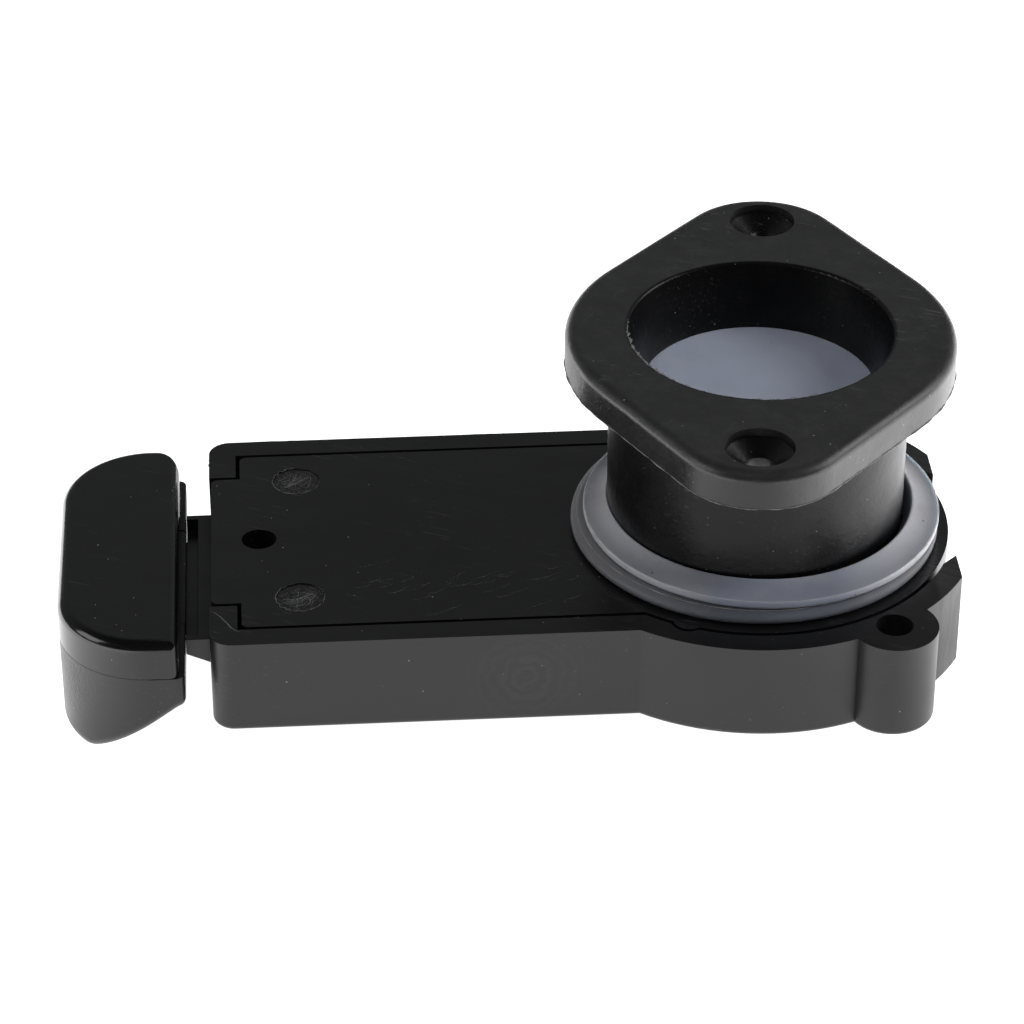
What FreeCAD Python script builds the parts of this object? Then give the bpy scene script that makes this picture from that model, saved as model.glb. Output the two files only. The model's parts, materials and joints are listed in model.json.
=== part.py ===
import FreeCAD, Part
import Sketcher
import math
import os
import re

# Slide-gate valve with a deck flange.
# +Z is up, the origin is on the bore axis at the underside of the housing, and the handle pulls out along -X.

# ---------------------------------------------------------------- driving dimensions, mm and degrees
DIMENSIONS = {
    "bore_radius": 19.0,          # water way
    "neck_radius": 21.65,
    "housing_top": 15.0,
    "side_wall_y": 26.65,         # half width of the straight housing
    "end_x": 80.0,                # bore axis to the outer face of the handle end
    "round_radius": 32.8,         # round end of the housing
    "nose_x": 28.4,               # flat across the round end
    "corner_radius": 3.2,
    "foot_edge": 0.9,             # rounding of the housing's lower edges
    "floor_top": 3.0,
    "ledge_z": 12.0,              # the cover plate rests here
    "recess_y": 22.9,             # half width of the recess for the cover plate
    "recess_radius": 29.2,
    "end_wall": 4.0,
    "chamber_y": 21.7,            # half width of the gate chamber, and the radius of its round end
    "chamber_shell_radius": 25.4,
    "mouth_y": 16.9,              # half width of the opening that the stem passes
    "mouth_floor": 3.8,
    "fin_tip_y": 10.8,
    "fin_root_x": 25.2,
    "fin_root_y": 13.8,
    "notch_depth": 3.2,           # between the two fins, narrowing inwards
    "notch_taper": 1.8,
    "ear_x": 16.9,
    "ear_y": 27.8,
    "ear_radius": 6.3,
    "ear_hole_radius": 2.65,
    "overcut": 1.0,               # how far a cut runs past the face where it comes out
    "cover_gap": 0.6,             # seen all round the cover plate
    "cover_corner": 1.08,
    "tongue_y": 16.3,
    "tongue_setback": 0.3,
    "tongue_underside": 9.3,
    "rib_setback": 1.2,           # the tongue's rib stands this far inside the end face
    "rib_play": 0.2,
    "tab_place": 27.6,            # bore axis to the centre of a snap tab
    "tab_angle": 116.0,
    "tab_radius": 2.1,
    "tab_gap": 0.48,
    "lock_hole_x": 72.7,
    "lock_hole_radius": 2.55,
    "mark_x": 67.0,               # two ejector marks on the cover plate
    "mark_y": 15.3,
    "mark_radius": 3.55,
    "mark_depth": 0.15,
    "flange_turn": 7.0,           # the flange stands turned against the housing
    "flange_top": 48.0,
    "flange_thickness": 5.5,
    "flange_radius": 28.0,        # rounding of the two blunt sides, about the bore axis
    "flange_slope": 36.3,         # long sides against the long axis
    "flange_tip_radius": 12.4,
    "flange_edge": 1.6,
    "screw_y": 31.6,              # bore axis to a deck screw
    "screw_radius": 2.15,
    "counterbore_radius": 4.85,   # short straight wall above the countersink
    "counterbore_depth": 1.3,
    "countersink": 1.8,
    "countersink_inset": 0.1,
    "neck_foot": 10.2,
    "bore_edge": 0.5,
    "lip_radius": 16.9,           # the bore narrows to a seat lip that the disc closes against
    "lip_top": 39.0,
    "lip_underside": 38.2,
    "neck_groove_z": 13.5,
    "neck_groove_depth": 1.25,
    "o_ring_section": 0.6,
    "o_ring_play": 0.1,
    "neck_play": 0.05,
    "ring_inner": 22.75,
    "ring_middle_z": 17.1,        # top of the lower ring, foot of the upper one
    "ring_rim_z": 18.4,           # the upper ring's top slopes from its inner crown to this rim
    "ring_crown_z": 20.0,
    "lower_ring_outer": 27.0,
    "lower_ring_bevel": 0.7,
    "lower_ring_band": 0.5,
    "lower_ring_inset": 0.9,      # its top is that much narrower
    "upper_ring_outer": 26.1,
    "upper_ring_bevel": 0.3,
    "upper_ring_bulge": 0.2,
    "upper_ring_shift": 1.0,      # the upper ring lies a little off centre
    "seal_inner": 19.6,
    "seal_outer": 21.1,
    "seal_groove": 1.4,
    "seal_play": 0.1,             # seals and gate, and other flat sliding faces
    "gate_radius": 21.4,
    "gate_underside": 5.0,
    "gate_top": 8.0,
    "gate_shoulder_x": 22.0,
    "gate_tail_x": 36.0,
    "stem_y": 16.2,
    "stem_underside": 4.0,
    "stem_top": 8.9,
    "stem_play": 0.1,
    "stem_end_gap": 0.3,          # between the stem's inner end and the blade's shoulder
    "stem_slope_x": 78.5,         # the stem's underside rises from here to the handle
    "stem_slope_rise": 2.4,
    "relief_width": 1.8,          # slot across the stem beside the handle
    "relief_depth": 2.0,
    "relief_wall": 1.1,
    "gate_screw_x": 29.0,
    "gate_screw_y": 9.0,
    "wiper_x": 70.5,              # handle side of the wiper
    "wiper_length": 3.0,
    "retainer_length": 3.2,
    "retainer_gap": 0.3,
    "handle_inner_x": 83.7,
    "handle_outer_x": 101.8,
    "handle_y": 25.8,
    "handle_corner": 13.0,
    "handle_inner_corner": 1.2,   # the shell's, and the cap's on the -Y side
    "cap_back_corner": 6.0,
    "handle_foot": -6.2,
    "handle_foot_edge": 2.6,
    "handle_top_edge": 1.6,
    "cap_setback": 0.8,           # the cap's inner face stands back from the shell's
    "parting_z": 9.0,
    "handle_wall": 2.4,
    "cap_roof": 2.0,
    "undercut_outer_x": 97.8,     # the underside rises from here to the inner face
    "undercut_rise": 4.25,        # height of the shell's lower edge at the inner face
    "undercut_edge": 1.5,
    "socket_x": 96.0,             # the stem ends here inside the handle
    "socket_y": 12.0,
    "socket_z": 6.7,
    "socket_wall": 1.2,
    "core_bevel": 7.2,            # corners of the hollow inside the handle
    "handle_screw_x": 93.4,
    "handle_screw_y": 7.0,
    "handle_screw_seat": 5.3,
    "gate_screw_seat": 7.1,
    "screw_hole": 1.6,            # clearance hole, counterbore and core hole of the small screws
    "screw_sink": 3.1,
    "screw_core": 1.2,
    "screw_head_radius": 2.9,
    "screw_head": 1.6,
    "gate_screw_length": 2.8,
    "handle_screw_length": 3.5,
    "cross_length": 3.6,          # cross recess in a screw's head
    "cross_width": 0.7,
    "cross_depth": 1.0,
    "disc_radius": 17.8,
    "disc_thickness": 1.6,
    "pin_radius": 1.5,
    "pin_flange_radius": 4.5,
    "pin_flange": 1.2,
    "pin_foot": 19.0,
    "pin_play": 0.08,
    "clip_drop": 1.1,             # from the spider down to the clip's underside
    "clip_width": 1.6,
    "clip_thickness": 0.8,
    "spider_play": 0.02,
    "spider_rim": 1.5,
    "spider_arm": 1.0,            # half its width
    "spider_underside": 22.0,
    "spider_thickness": 2.6,
    "spider_hub_radius": 4.2,
    "spring_radius": 2.75,
    "spring_wire": 0.35,
    "spring_turns": 6.0,
}

doc = FreeCAD.newDocument("slide_valve")
dims = doc.addObject("Spreadsheet::Sheet", "dims")
for row, (alias, value) in enumerate(DIMENSIONS.items(), start=1):
    dims.set(f"A{row}", alias)
    dims.set(f"B{row}", str(value))
    dims.setAlias(f"B{row}", alias)
doc.recompute()

NODES = []


def linked(text):
    """Point every dimension's name in an expression at its spreadsheet cell."""
    def cell(word):
        name = word.group()
        return "dims." + name if name in DIMENSIONS else name
    return re.sub(r"[a-z_]+", cell, text)


def number(text):
    """The present value of an expression."""
    value = dims.evalExpression(linked(text))
    return float(getattr(value, "Value", value))


def keep(node):
    """Count a finished object as one sub-part of the valve."""
    NODES.append(node)
    return node


# ---------------------------------------------------------------- sketch and feature helpers
def new_body(label):
    body = doc.addObject("PartDesign::Body", label)
    body.Label = label
    return body


def new_sketch(body, name, height="0", plane="XY_Plane"):
    """A sketch on one of the body's own planes, lifted along the plane's normal."""
    sketch = body.newObject("Sketcher::SketchObject", name)
    origin_plane = [item for item in body.Origin.OriginFeatures if item.Role == plane][0]
    sketch.AttachmentSupport = [(origin_plane, "")]
    sketch.MapMode = "FlatFace"
    sketch.setExpression("AttachmentOffset.Base.z", linked(height))
    return sketch


def pin_point(sketch, geometry, end, across, up):
    """Fix one point of a sketch by two dimensions from the sketch's origin."""
    for kind, text in (("DistanceX", across), ("DistanceY", up)):
        index = sketch.addConstraint(Sketcher.Constraint(kind, -1, 1, geometry, end, number(text)))
        sketch.setExpression(f"Constraints[{index}]", linked(text))


def add_polygon(sketch, corners):
    """A closed outline of straight lines; each corner is a pair of expressions."""
    points = [FreeCAD.Vector(number(across), number(up), 0) for across, up in corners]
    first = sketch.GeometryCount
    count = len(points)
    for step in range(count):
        sketch.addGeometry(Part.LineSegment(points[step], points[(step + 1) % count]), False)
    for step in range(count):
        following = first + (step + 1) % count
        sketch.addConstraint(Sketcher.Constraint("Coincident", first + step, 2, following, 1))
    for step, (across, up) in enumerate(corners):
        pin_point(sketch, first + step, 1, across, up)


def add_rectangle(sketch, left, right, low, high):
    add_polygon(sketch, [(left, low), (right, low), (right, high), (left, high)])


def add_circle(sketch, across, up, radius):
    centre = FreeCAD.Vector(number(across), number(up), 0)
    index = sketch.addGeometry(Part.Circle(centre, FreeCAD.Vector(0, 0, 1), number(radius)), False)
    size = sketch.addConstraint(Sketcher.Constraint("Radius", index, number(radius)))
    sketch.setExpression(f"Constraints[{size}]", linked(radius))
    pin_point(sketch, index, 3, across, up)


def extrude(body, kind, sketch, length, backwards):
    feature = body.newObject(kind, sketch.Name + "_step")
    feature.Profile = sketch
    feature.Reversed = backwards
    feature.setExpression("Length", linked(length))
    before = body.Shape.Volume if body.Shape and not body.Shape.isNull() else 0.0
    body.Tip = feature
    doc.recompute()
    change = body.Shape.Volume - before
    if abs(change) < 1e-3:
        raise RuntimeError(f"{body.Label}: {sketch.Name} changes nothing")
    return feature


def pad(body, sketch, length):
    """Add material upwards from a sketch."""
    return extrude(body, "PartDesign::Pad", sketch, length, False)


def pocket_up(body, sketch, length):
    """Remove material above a sketch."""
    return extrude(body, "PartDesign::Pocket", sketch, length, True)


def turn_section(body, sketch, kind="PartDesign::Revolution"):
    """Turn a section drawn in the XZ plane through a full circle about the sketch's upright axis."""
    feature = body.newObject(kind, sketch.Name + "_turned")
    feature.Profile = sketch
    feature.ReferenceAxis = (sketch, ["V_Axis"])
    feature.Angle = 360.0
    body.Tip = feature
    doc.recompute()
    return feature


def round_edges(body, wanted, radius, kind="PartDesign::Fillet", size="Radius"):
    """Fillet or chamfer the edges for which wanted(edge) is true."""
    base = body.Tip
    names = [f"Edge{i}" for i, edge in enumerate(base.Shape.Edges, start=1) if wanted(edge)]
    if not names:
        raise RuntimeError(f"{body.Label}: no edge to round")
    feature = body.newObject(kind, body.Label + "_" + size.lower())
    feature.Base = (base, names)
    feature.setExpression(size, linked(radius))
    body.Tip = feature
    doc.recompute()
    if "Invalid" in feature.State:
        raise RuntimeError(f"{body.Label}: {feature.Label} failed")
    return feature


def upright_at(points, tolerance=0.05):
    """Pick upright edges whose plan position is one of the points."""
    def wanted(edge):
        start, end = edge.Vertexes[0].Point, edge.Vertexes[-1].Point
        if (start - end).Length < 0.1 or math.hypot(start.x - end.x, start.y - end.y) > 1e-4:
            return False
        return any(math.hypot(start.x - x, start.y - y) < tolerance for x, y in points)
    return wanted


def flat_at(height, reach=None):
    """Pick edges that lie level at one height, all of them or only those within a radius of the axis."""
    def wanted(edge):
        box = edge.BoundBox
        if abs(box.ZMin - height) > 1e-4 or abs(box.ZMax - height) > 1e-4:
            return False
        return reach is None or reach(edge)
    return wanted


def on_both_sides(value):
    """The two y places of something that is repeated on both sides of the middle plane."""
    return (value, "-" + value)


# ---------------------------------------------------------------- housing and cover plate
def make_housing():
    body = new_body("housing")
    tray = new_sketch(body, "tray_plan")
    add_rectangle(tray, "-end_x", "0", "-side_wall_y", "side_wall_y")
    pad(body, tray, "housing_top")
    x, y = -number("end_x"), number("side_wall_y")
    round_edges(body, upright_at([(x, y), (x, -y)]), "corner_radius")
    round_end = new_sketch(body, "round_end")
    add_circle(round_end, "0", "0", "round_radius")
    pad(body, round_end, "housing_top")
    for side, ear_y in enumerate(on_both_sides("ear_y")):
        ear = new_sketch(body, f"ear_{side}")
        add_circle(ear, "ear_x", ear_y, "ear_radius")
        pad(body, ear, "housing_top")
    round_edges(body, flat_at(0.0), "foot_edge")
    flat = new_sketch(body, "nose_flat")
    add_rectangle(flat, "nose_x", "nose_x + round_radius", "-round_radius", "round_radius")
    pocket_up(body, flat, "housing_top")
    notch = new_sketch(body, "nose_notch")
    inner_x, inner_y, outer_x = "fin_root_x - notch_depth", "fin_root_y - notch_taper", "nose_x + overcut"
    add_polygon(notch, [(inner_x, f"-({inner_y})"), ("fin_root_x", "-fin_root_y"), ("nose_x", "-fin_tip_y"),
                        (outer_x, "-fin_tip_y"), (outer_x, "fin_tip_y"), ("nose_x", "fin_tip_y"),
                        ("fin_root_x", "fin_root_y"), (inner_x, inner_y)])
    pocket_up(body, notch, "housing_top")
    shell = new_sketch(body, "chamber_shell")
    add_circle(shell, "0", "0", "chamber_shell_radius")
    pad(body, shell, "ledge_z")
    cut_cover_recess(body)
    cut_gate_chamber(body)
    for side, ear_y in enumerate(on_both_sides("ear_y")):
        hole = new_sketch(body, f"ear_hole_{side}")
        add_circle(hole, "ear_x", ear_y, "ear_hole_radius")
        pocket_up(body, hole, "housing_top")
    return keep(body)


def cut_cover_recess(body):
    depth = "housing_top - ledge_z"
    straight = new_sketch(body, "cover_recess", "ledge_z")
    add_rectangle(straight, "-end_x + end_wall", "0", "-recess_y", "recess_y")
    pocket_up(body, straight, depth)
    circle = new_sketch(body, "cover_recess_round", "ledge_z")
    add_circle(circle, "0", "0", "recess_radius")
    pocket_up(body, circle, depth)
    for side, tab_angle in enumerate(on_both_sides("tab_angle")):
        seat = new_sketch(body, f"tab_seat_{side}", "ledge_z")
        add_circle(seat, "tab_place * cos(tab_angle)", f"tab_place * sin({tab_angle})",
                   "tab_radius + tab_gap")
        pocket_up(body, seat, depth)


def cut_gate_chamber(body):
    chamber = new_sketch(body, "gate_chamber", "floor_top")
    add_rectangle(chamber, "-end_x + end_wall", "0", "-chamber_y", "chamber_y")
    pocket_up(body, chamber, "housing_top - floor_top")
    chamber_end = new_sketch(body, "gate_chamber_end", "floor_top")
    add_circle(chamber_end, "0", "0", "chamber_y")
    pocket_up(body, chamber_end, "housing_top - floor_top")
    mouth = new_sketch(body, "stem_mouth", "mouth_floor")
    add_rectangle(mouth, "-end_x - overcut", "-end_x + end_wall", "-mouth_y", "mouth_y")
    pocket_up(body, mouth, "housing_top - mouth_floor")
    port = new_sketch(body, "outlet_port")
    add_circle(port, "0", "0", "bore_radius")
    pocket_up(body, port, "floor_top")
    groove = new_sketch(body, "lower_seal_groove", "floor_top - seal_groove")
    add_circle(groove, "0", "0", "seal_outer")
    add_circle(groove, "0", "0", "seal_inner")
    pocket_up(body, groove, "seal_groove")


def make_cover_plate():
    body = new_body("cover_plate")
    thickness = "housing_top - ledge_z"
    shoulder = "-end_x + end_wall + cover_gap"
    plate = new_sketch(body, "cover_outline", "ledge_z")
    tongue, side = "-end_x + tongue_setback", "recess_y - cover_gap"
    add_polygon(plate, [(tongue, "-tongue_y"), (shoulder, "-tongue_y"), (shoulder, f"-({side})"),
                        ("0", f"-({side})"), ("0", side), (shoulder, side), (shoulder, "tongue_y"),
                        (tongue, "tongue_y")])
    pad(body, plate, thickness)
    tongue_x, tongue_y = number(tongue), number("tongue_y")
    shoulder_x, shoulder_y = number(shoulder), number(side)
    corners = [(tongue_x, tongue_y), (tongue_x, -tongue_y),
               (shoulder_x, shoulder_y), (shoulder_x, -shoulder_y)]
    round_edges(body, upright_at(corners), "cover_corner")
    disc = new_sketch(body, "cover_round", "ledge_z")
    add_circle(disc, "0", "0", "recess_radius - cover_gap")
    pad(body, disc, thickness)
    for side, tab_angle in enumerate(on_both_sides("tab_angle")):
        tab = new_sketch(body, f"snap_tab_{side}", "ledge_z")
        add_circle(tab, "tab_place * cos(tab_angle)", f"tab_place * sin({tab_angle})", "tab_radius")
        pad(body, tab, thickness)
    rib = new_sketch(body, "tongue_rib", "tongue_underside")
    add_rectangle(rib, "-end_x + rib_setback", "-end_x + end_wall - rib_play", "-tongue_y", "tongue_y")
    pad(body, rib, "ledge_z - tongue_underside")
    neck_hole = new_sketch(body, "neck_hole", "ledge_z")
    add_circle(neck_hole, "0", "0", "neck_radius + neck_play")
    pocket_up(body, neck_hole, thickness)
    lock_hole = new_sketch(body, "lock_hole", "ledge_z")
    add_circle(lock_hole, "-lock_hole_x", "0", "lock_hole_radius")
    pocket_up(body, lock_hole, thickness)
    marks = new_sketch(body, "ejector_marks", "housing_top - mark_depth")
    for mark_y in on_both_sides("mark_y"):
        add_circle(marks, "-mark_x", mark_y, "mark_radius")
    pocket_up(body, marks, "mark_depth")
    return keep(body)


# ---------------------------------------------------------------- deck flange and its rings
def make_deck_flange():
    body = new_body("deck_flange")
    underside = "flange_top - flange_thickness"
    rhombus = new_sketch(body, "flange_rhombus", underside)
    tip, side = "flange_radius / sin(flange_slope)", "flange_radius / cos(flange_slope)"
    add_polygon(rhombus, [(side, "0"), ("0", tip), ("-" + side, "0"), ("0", "-" + tip)])
    pad(body, rhombus, "flange_thickness")
    tip_y, side_x = number(tip), number(side)
    round_edges(body, upright_at([(0, tip_y), (0, -tip_y)]), "flange_tip_radius")
    round_edges(body, upright_at([(side_x, 0), (-side_x, 0)]), "flange_radius - 0.01")
    round_edges(body, flat_at(number("flange_top")), "flange_edge")
    neck = new_sketch(body, "neck", "neck_foot")
    add_circle(neck, "0", "0", "neck_radius")
    pad(body, neck, "flange_top - flange_thickness - neck_foot + overcut")
    funnel = new_sketch(body, "inlet_funnel", "0", "XZ_Plane")
    add_polygon(funnel, [("0", "lip_underside - overcut"), ("lip_radius", "lip_underside - overcut"),
                         ("lip_radius", "lip_top"), ("bore_radius", "flange_top"), ("0", "flange_top")])
    turn_section(body, funnel, "PartDesign::Groove")
    lower_bore = new_sketch(body, "lower_bore", "neck_foot")
    add_circle(lower_bore, "0", "0", "bore_radius")
    pocket_up(body, lower_bore, "lip_underside - neck_foot")
    holes = new_sketch(body, "deck_screw_holes", underside)
    for screw_y in on_both_sides("screw_y"):
        add_circle(holes, "0", screw_y, "screw_radius")
    pocket_up(body, holes, "flange_thickness")
    bores = new_sketch(body, "deck_screw_counterbores", "flange_top - counterbore_depth")
    cones = new_sketch(body, "deck_screw_countersinks", "flange_top - counterbore_depth")
    for screw_y in on_both_sides("screw_y"):
        add_circle(bores, "0", screw_y, "counterbore_radius")
        add_circle(cones, "0", screw_y, "counterbore_radius - countersink_inset")
    pocket_up(body, bores, "counterbore_depth")
    sink = body.newObject("PartDesign::Pocket", "deck_screw_cones")
    sink.Profile = cones
    sink.setExpression("Length", linked("countersink"))
    taper = "-atan((counterbore_radius - countersink_inset - screw_radius) / countersink)"
    sink.setExpression("TaperAngle", linked(taper))
    body.Tip = sink
    doc.recompute()
    round_edges(body, flat_at(number("flange_top"), lambda e: e.Curve.TypeId == "Part::GeomCircle"
                              and abs(e.Curve.Radius - number("bore_radius")) < 0.01), "bore_edge")
    groove = new_sketch(body, "o_ring_groove", "0", "XZ_Plane")
    add_rectangle(groove, "neck_radius - neck_groove_depth", "neck_radius + overcut",
                  "neck_groove_z - o_ring_section - o_ring_play",
                  "neck_groove_z + o_ring_section + o_ring_play")
    turn_section(body, groove, "PartDesign::Groove")
    seal_groove = new_sketch(body, "upper_seal_groove", "neck_foot")
    add_circle(seal_groove, "0", "0", "seal_outer")
    add_circle(seal_groove, "0", "0", "seal_inner")
    pocket_up(body, seal_groove, "seal_groove")
    body.Placement.Rotation = FreeCAD.Rotation(FreeCAD.Vector(0, 0, 1), 0)
    body.setExpression("Placement.Rotation.Angle", linked("-flange_turn"))
    return keep(body)


def make_gaskets():
    lower = new_body("body_gasket")
    section = new_sketch(lower, "lower_ring_section", "0", "XZ_Plane")
    outer, bevel_top = "lower_ring_outer", "housing_top + lower_ring_bevel"
    add_polygon(section, [("ring_inner", "housing_top"), (outer + " - lower_ring_bevel", "housing_top"),
                          (outer, bevel_top), (outer, bevel_top + " + lower_ring_band"),
                          (outer + " - lower_ring_inset", "ring_middle_z"), ("ring_inner", "ring_middle_z")])
    turn_section(lower, section)
    keep(lower)
    upper = new_body("deck_gasket")
    section = new_sketch(upper, "upper_ring_section", "0", "XZ_Plane")
    outer, bevel_top = "upper_ring_outer", "ring_middle_z + upper_ring_bevel"
    bulge_z = "( ring_rim_z + ring_crown_z ) / 2 + upper_ring_bulge"
    add_polygon(section, [("ring_inner", "ring_middle_z"), (outer + " - upper_ring_bevel", "ring_middle_z"),
                          (outer, bevel_top), (outer, "ring_rim_z"),
                          ("( ring_inner + upper_ring_outer ) / 2", bulge_z), ("ring_inner", "ring_crown_z")])
    turn_section(upper, section)
    upper.setExpression("Placement.Base.x", linked("upper_ring_shift"))
    return keep(upper)


def make_torus(label, radius, section, height):
    ring = doc.addObject("Part::Torus", label)
    ring.Label = label
    ring.setExpression("Radius1", linked(radius))
    ring.setExpression("Radius2", linked(section))
    ring.setExpression("Placement.Base.z", linked(height))
    return keep(ring)


def make_face_seal(label, foot, top):
    """A ring of rectangular section that fills a groove and stands up to the gate."""
    body = new_body(label)
    sketch = new_sketch(body, label + "_plan", foot)
    add_circle(sketch, "0", "0", "seal_outer")
    add_circle(sketch, "0", "0", "seal_inner")
    pad(body, sketch, f"{top} - ( {foot} )")
    return keep(body)


# ---------------------------------------------------------------- gate, stem and their seals
def make_gate_plate():
    body = new_body("gate_plate")
    blade = new_sketch(body, "blade", "gate_underside")
    add_rectangle(blade, "-gate_shoulder_x", "0", "-gate_radius", "gate_radius")
    pad(body, blade, "gate_top - gate_underside")
    nose = new_sketch(body, "blade_nose", "gate_underside")
    add_circle(nose, "0", "0", "gate_radius")
    pad(body, nose, "gate_top - gate_underside")
    tail = new_sketch(body, "blade_tail", "gate_underside")
    add_rectangle(tail, "-gate_tail_x", "-gate_shoulder_x", "-stem_y", "stem_y")
    pad(body, tail, "stem_top - gate_underside")
    screw_holes = new_sketch(body, "blade_screw_holes", "gate_underside")
    sinks = new_sketch(body, "blade_screw_sinks", "gate_screw_seat")
    for screw_y in on_both_sides("gate_screw_y"):
        add_circle(screw_holes, "-gate_screw_x", screw_y, "screw_hole")
        add_circle(sinks, "-gate_screw_x", screw_y, "screw_sink")
    pocket_up(body, screw_holes, "stem_top - gate_underside")
    pocket_up(body, sinks, "stem_top - gate_screw_seat")
    return keep(body)


def make_stem():
    body = new_body("stem")
    bar = new_sketch(body, "stem_bar", "stem_underside")
    shoulder = "-handle_inner_x + stem_play"
    add_rectangle(bar, shoulder, "-gate_shoulder_x - stem_end_gap", "-stem_y", "stem_y")
    pad(body, bar, "stem_top - stem_underside")
    shank = new_sketch(body, "stem_shank", "socket_z")
    add_rectangle(shank, "-socket_x", shoulder, "-socket_y", "socket_y")
    pad(body, shank, "stem_top - socket_z")
    seat = new_sketch(body, "blade_seat", "gate_underside")
    add_rectangle(seat, "-gate_tail_x - stem_play", "-gate_shoulder_x + overcut", "-stem_y - overcut",
                  "stem_y + overcut")
    pocket_up(body, seat, "stem_top - gate_underside")
    relief = new_sketch(body, "stem_relief", "stem_top - relief_depth")
    add_rectangle(relief, "-handle_inner_x", "-handle_inner_x + relief_width", "-stem_y + relief_wall",
                  "stem_y - relief_wall")
    pocket_up(body, relief, "relief_depth")
    slope = new_sketch(body, "underside_slope", "-stem_y - overcut", "XZ_Plane")
    below = "stem_underside - overcut"
    add_polygon(slope, [("-handle_inner_x", below), ("-stem_slope_x", below),
                        ("-stem_slope_x", "stem_underside"),
                        ("-handle_inner_x", "stem_underside + stem_slope_rise")])
    pocket_up(body, slope, "2 * (stem_y + overcut)")
    lock = new_sketch(body, "stem_lock_hole", "stem_underside")
    add_circle(lock, "-lock_hole_x", "0", "lock_hole_radius")
    pocket_up(body, lock, "stem_top - stem_underside")
    bolt_holes = new_sketch(body, "stem_screw_holes", "stem_underside")
    for screw_y in on_both_sides("gate_screw_y"):
        add_circle(bolt_holes, "-gate_screw_x", screw_y, "screw_core")
    pocket_up(body, bolt_holes, "gate_underside - stem_underside")
    handle_holes = new_sketch(body, "shank_screw_holes", "socket_z")
    for screw_y in on_both_sides("handle_screw_y"):
        add_circle(handle_holes, "-handle_screw_x", screw_y, "screw_core")
    pocket_up(body, handle_holes, "stem_top - socket_z")
    return keep(body)


def make_frame(label, left, length, gap):
    """A flat frame that fills the chamber round the stem."""
    body = new_body(label)
    outside = new_sketch(body, label + "_outside", "floor_top")
    add_rectangle(outside, left, f"{left} + {length}", "-chamber_y", "chamber_y")
    pad(body, outside, "ledge_z - floor_top")
    inside = new_sketch(body, label + "_inside", f"stem_underside - {gap}")
    add_rectangle(inside, f"{left} - overcut", f"{left} + {length} + overcut",
                  f"-stem_y - {gap}", f"stem_y + {gap}")
    pocket_up(body, inside, f"stem_top - stem_underside + 2 * {gap}")
    return keep(body)


# ---------------------------------------------------------------- handle
def make_handle_blank(label, foot, top, inner_x):
    """A block with the handle's D-shaped outline; its inner corners are still sharp."""
    body = new_body(label)
    plan = new_sketch(body, label + "_plan", foot)
    add_rectangle(plan, "-handle_outer_x", inner_x, "-handle_y", "handle_y")
    pad(body, plan, f"{top} - ({foot})")
    for side in ("-handle_y", "handle_y"):
        round_corner(body, "-handle_outer_x", side, "handle_corner")
    return body


def round_corner(body, x, y, radius):
    """Round one upright edge of a handle block."""
    round_edges(body, upright_at([(number(x), number(y))]), radius)


def away_from(x):
    """Pick edges that don't lie wholly at one x place."""
    place = number(x)
    return lambda edge: abs(edge.BoundBox.XMin - place) > 1e-3 or abs(edge.BoundBox.XMax - place) > 1e-3


def add_core_outline(sketch, inset):
    """The hollow's outline: the D moved inwards, with bevelled corners."""
    cut = "core_bevel"
    left, right = f"-handle_outer_x + {inset}", f"-handle_inner_x - {inset}"
    low, high = f"-handle_y + {inset}", f"handle_y - {inset}"
    add_polygon(sketch, [(f"{left} + {cut}", low), (right, low), (right, high), (f"{left} + {cut}", high),
                         (left, f"{high} - {cut}"), (left, f"{low} + {cut}")])


def make_handle_shell():
    body = make_handle_blank("handle_shell", "handle_foot", "parting_z", "-handle_inner_x")
    for side in ("-handle_y", "handle_y"):
        round_corner(body, "-handle_inner_x", side, "handle_inner_corner")
    round_edges(body, flat_at(number("handle_foot")), "handle_foot_edge")
    undercut = new_sketch(body, "finger_undercut", "-handle_y - overcut", "XZ_Plane")
    below, inside = "handle_foot - overcut", "-handle_inner_x + overcut"
    add_polygon(undercut, [("-undercut_outer_x", below), (inside, below), (inside, "undercut_rise"),
                           ("-handle_inner_x", "undercut_rise"), ("-undercut_outer_x", "handle_foot")])
    pocket_up(body, undercut, "2 * (handle_y + overcut)")
    heel = away_from("-undercut_outer_x")
    round_edges(body, flat_at(number("handle_foot"), lambda edge: not heel(edge)), "undercut_edge")
    hollow = new_sketch(body, "shell_hollow", "undercut_rise + handle_wall")
    add_core_outline(hollow, "handle_wall")
    pocket_up(body, hollow, "parting_z - undercut_rise - handle_wall")
    well = new_sketch(body, "shell_well", "handle_foot + handle_wall")
    add_rectangle(well, "-handle_outer_x + handle_wall", "-socket_x - socket_wall", "-socket_y", "socket_y")
    pocket_up(body, well, "parting_z - handle_foot - handle_wall")
    socket = new_sketch(body, "stem_socket", "socket_z")
    add_rectangle(socket, "-socket_x - stem_play", "-handle_inner_x + overcut", "-socket_y - stem_play",
                  "socket_y + stem_play")
    pocket_up(body, socket, "parting_z - socket_z")
    screw_holes = new_sketch(body, "shell_screw_holes", "handle_foot")
    counterbores = new_sketch(body, "shell_counterbores", "handle_foot")
    for screw_y in on_both_sides("handle_screw_y"):
        add_circle(screw_holes, "-handle_screw_x", screw_y, "screw_hole")
        add_circle(counterbores, "-handle_screw_x", screw_y, "screw_sink")
    pocket_up(body, screw_holes, "parting_z - handle_foot")
    pocket_up(body, counterbores, "handle_screw_seat - handle_foot")
    return keep(body)


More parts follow.
